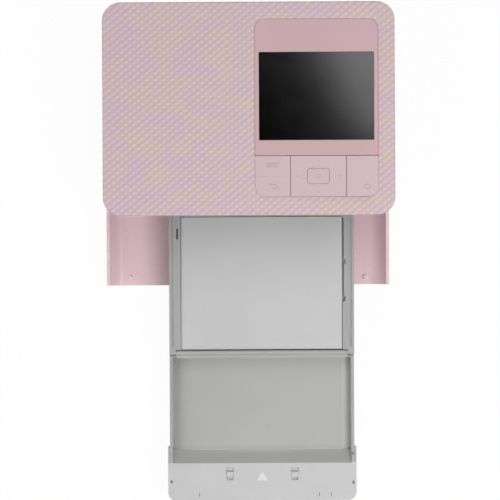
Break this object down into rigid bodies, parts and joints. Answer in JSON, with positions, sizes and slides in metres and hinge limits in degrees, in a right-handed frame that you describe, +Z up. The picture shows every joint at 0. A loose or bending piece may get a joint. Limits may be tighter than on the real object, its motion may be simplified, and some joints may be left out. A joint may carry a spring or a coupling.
{
  "type": "compact photo printer",
  "caption": "Compact photo printer with textured top, screen and keys, paper cassette loaded, its lid folded out as a print tray and the front door folded down.",
  "frame": {"origin": "centre of the whole assembly's footprint, on the surface that the feet stand on", "axes": "+X to the right seen from the front, +Y to the rear, +Z up; the print tray reaches out along -Y"},
  "size_m": [0.1822, 0.315, 0.0576],
  "materials": {
    "pink_case": "smooth painted, satin",
    "pink_top": "fine slanting texture, matt",
    "pink_panel": "smooth, satin gloss",
    "pink_key": "smooth, satin",
    "pink_door": "glossy inner face",
    "screen_glass": "dark, glossy",
    "tray_grey": "fine grain, matt",
    "lid_grey": "fine grain, matt",
    "dark_plastic": "matt",
    "fascia_plastic": "matt",
    "white_plastic": "smooth",
    "sheet_steel": "zinc plated",
    "shaft_steel": "ground",
    "motor_steel": "plated",
    "rubber": "matt",
    "board_green": "solder mask",
    "brass": "machined",
    "aluminium": "extruded",
    "ceramic": "glazed",
    "paper": "glossy coated",
    "dye_film": "thin dye film",
    "supply_film": "wound dye film"
  },
  "bodies": {
    "body": {"base_pan": "pink_case", "case_wall": "pink_case", "top_cover": "pink_top", "display_panel": "pink_panel", "screen_glass": "screen_glass", "screen_module": "motor_steel", "control_board": "board_green", "front_fascia": "fascia_plastic", "main_board": "board_green", "power_inlet": "dark_plastic", "usb_port": "shaft_steel", "card_slot": "sheet_steel", "left_plate": "sheet_steel", "right_plate": "sheet_steel", "tie_bars": "shaft_steel", "paper_guide": "dark_plastic", "roller_bushes": "white_plastic", "feed_motor": "motor_steel", "motor_bracket": "sheet_steel", "head_motor": "motor_steel", "rubber_feet": "rubber", "case_screws": "shaft_steel", "battery_cap": "pink_case", "ink_cover_pin": "shaft_steel", "ink_frame": "white_plastic", "ink_film": "dye_film", "door_pins": "shaft_steel"},
    "front_door": {"front_door": "pink_door"},
    "cassette": {"cassette_base": "tray_grey", "lid_pins": "shaft_steel", "leaf_springs": "shaft_steel", "separation_pad": "rubber"},
    "lift_plate": {"lift_plate": "sheet_steel", "paper_stack": "paper"},
    "outer_lid": {"outer_lid": "lid_grey"},
    "inner_lid": {"inner_lid": "lid_grey"},
    "ink_cover": {"ink_cover": "pink_case"},
    "eject_lever": {"eject_lever": "white_plastic"},
    "supply_spool": {"supply_spool": "supply_film"},
    "takeup_spool": {"takeup_spool": "dark_plastic"},
    "platen": {"platen_roller": "rubber", "platen_gear": "white_plastic"},
    "capstan": {"capstan_roller": "shaft_steel", "capstan_gear": "white_plastic"},
    "pinch_roller": {"pinch_roller": "dark_plastic"},
    "pickup": {"pickup_roller": "rubber", "pickup_gear": "white_plastic"},
    "rear_idler": {"rear_idler": "white_plastic"},
    "front_idler": {"front_idler": "white_plastic"},
    "feed_pinion": {"feed_pinion": "brass"},
    "print_head": {"head_arm": "sheet_steel", "head_shaft": "shaft_steel", "heat_sink": "aluminium", "thermal_head": "ceramic"},
    "head_pinion": {"head_pinion": "brass"},
    "menu_key": {"menu_key": "pink_key"},
    "four_way_pad": {"four_way_pad": "pink_key"},
    "ok_button": {"ok_button": "pink_key"},
    "power_key": {"power_key": "pink_key"}
  },
  "joints": [
    {"name": "door_hinge", "type": "hinge", "parent": "body", "child": "front_door", "pos_m": [0, 0.0287, 0.005], "axis": [1, 0, 0], "range_deg": [-6, 0]},
    {"name": "cassette_slide", "type": "slide", "parent": "body", "child": "cassette", "axis": [0, -1, 0], "range_m": [0, 0.09]},
    {"name": "lift_plate_pivot", "type": "hinge", "parent": "cassette", "child": "lift_plate", "pos_m": [0.0083, -0.0417, 0.0159], "axis": [1, 0, 0], "range_deg": [-1.5, 0], "stiffness_Nm_per_rad": 0.6, "springref_deg": 20.05, "deforming": ["leaf_springs"]},
    {"name": "outer_lid_hinge", "type": "hinge", "parent": "cassette", "child": "outer_lid", "pos_m": [0.0083, -0.0626, 0.0236], "axis": [1, 0, 0], "range_deg": [-145, 0]},
    {"name": "inner_lid_hinge", "type": "hinge", "parent": "cassette", "child": "inner_lid", "pos_m": [0.0083, -0.0595, 0.0226], "axis": [1, 0, 0], "range_deg": [0, 95]},
    {"name": "ink_cover_hinge", "type": "hinge", "parent": "body", "child": "ink_cover", "pos_m": [0.09, 0.113, 0.0343], "axis": [0, 1, 0], "range_deg": [0, 90]},
    {"name": "eject_lever_pivot", "type": "hinge", "parent": "body", "child": "eject_lever", "pos_m": [0.0755, 0.1419, 0.0465], "axis": [0, 1, 0], "range_deg": [0, 12], "stiffness_Nm_per_rad": 0.004},
    {"name": "supply_spin", "type": "hinge", "parent": "body", "child": "supply_spool", "pos_m": [0.0083, 0.093, 0.0429], "axis": [1, 0, 0], "continuous": true},
    {"name": "takeup_spin", "type": "hinge", "parent": "body", "child": "takeup_spool", "pos_m": [0.0083, 0.1325, 0.0429], "axis": [1, 0, 0], "continuous": true},
    {"name": "capstan_turn", "type": "hinge", "parent": "body", "child": "capstan", "pos_m": [0.0083, 0.1445, 0.0337], "axis": [1, 0, 0], "continuous": true},
    {"name": "platen_turn", "type": "hinge", "parent": "body", "child": "platen", "pos_m": [0.0083, 0.1145, 0.0322], "axis": [1, 0, 0], "continuous": true},
    {"name": "pinch_turn", "type": "hinge", "parent": "body", "child": "pinch_roller", "pos_m": [0.0083, 0.1445, 0.041], "axis": [1, 0, 0], "continuous": true},
    {"name": "pickup_turn", "type": "hinge", "parent": "body", "child": "pickup", "pos_m": [0.0083, 0.0945, 0.0289], "axis": [1, 0, 0], "continuous": true},
    {"name": "rear_idler_turn", "type": "hinge", "parent": "body", "child": "rear_idler", "pos_m": [-0.0594, 0.12971, 0.02874], "axis": [1, 0, 0], "continuous": true},
    {"name": "front_idler_turn", "type": "hinge", "parent": "body", "child": "front_idler", "pos_m": [-0.0594, 0.10588, 0.02221], "axis": [1, 0, 0], "continuous": true},
    {"name": "feed_pinion_turn", "type": "hinge", "parent": "body", "child": "feed_pinion", "pos_m": [-0.0594, 0.13686, 0.04134], "axis": [1, 0, 0], "continuous": true},
    {"name": "head_lift", "type": "hinge", "parent": "body", "child": "print_head", "pos_m": [0.0083, 0.1213, 0.0465], "axis": [-1, 0, 0], "range_deg": [0, 10]},
    {"name": "head_pinion_turn", "type": "hinge", "parent": "body", "child": "head_pinion", "pos_m": [-0.0594, 0.10585, 0.04433], "axis": [-1, 0, 0], "range_deg": [-34, 0]},
    {"name": "menu_rock", "type": "hinge", "parent": "body", "child": "menu_key", "pos_m": [0.0147, 0.0487, 0.0564], "axis": [1, 0, 0], "range_deg": [-2, 2], "stiffness_Nm_per_rad": 0.03},
    {"name": "pad_rock", "type": "hinge", "parent": "body", "child": "four_way_pad", "pos_m": [0.0432, 0.0487, 0.0564], "axis": [1, 0, 0], "range_deg": [-2, 2], "stiffness_Nm_per_rad": 0.03},
    {"name": "ok_press", "type": "slide", "parent": "body", "child": "ok_button", "axis": [0, 0, -1], "range_m": [0, 0.0005], "stiffness_N_per_m": 600},
    {"name": "power_press", "type": "slide", "parent": "body", "child": "power_key", "axis": [0, 0, -1], "range_m": [0, 0.0005], "stiffness_N_per_m": 600}
  ],
  "couplings": [
    {"joint": "takeup_spin", "follows": "supply_spin", "ratio": 1.4444},
    {"joint": "platen_turn", "follows": "capstan_turn", "ratio": 1},
    {"joint": "pinch_turn", "follows": "capstan_turn", "ratio": -1},
    {"joint": "pickup_turn", "follows": "capstan_turn", "ratio": 1},
    {"joint": "rear_idler_turn", "follows": "capstan_turn", "ratio": -0.85714},
    {"joint": "front_idler_turn", "follows": "capstan_turn", "ratio": -1.2},
    {"joint": "feed_pinion_turn", "follows": "capstan_turn", "ratio": -2},
    {"joint": "head_pinion_turn", "follows": "head_lift", "ratio": -3.3333}
  ]
}
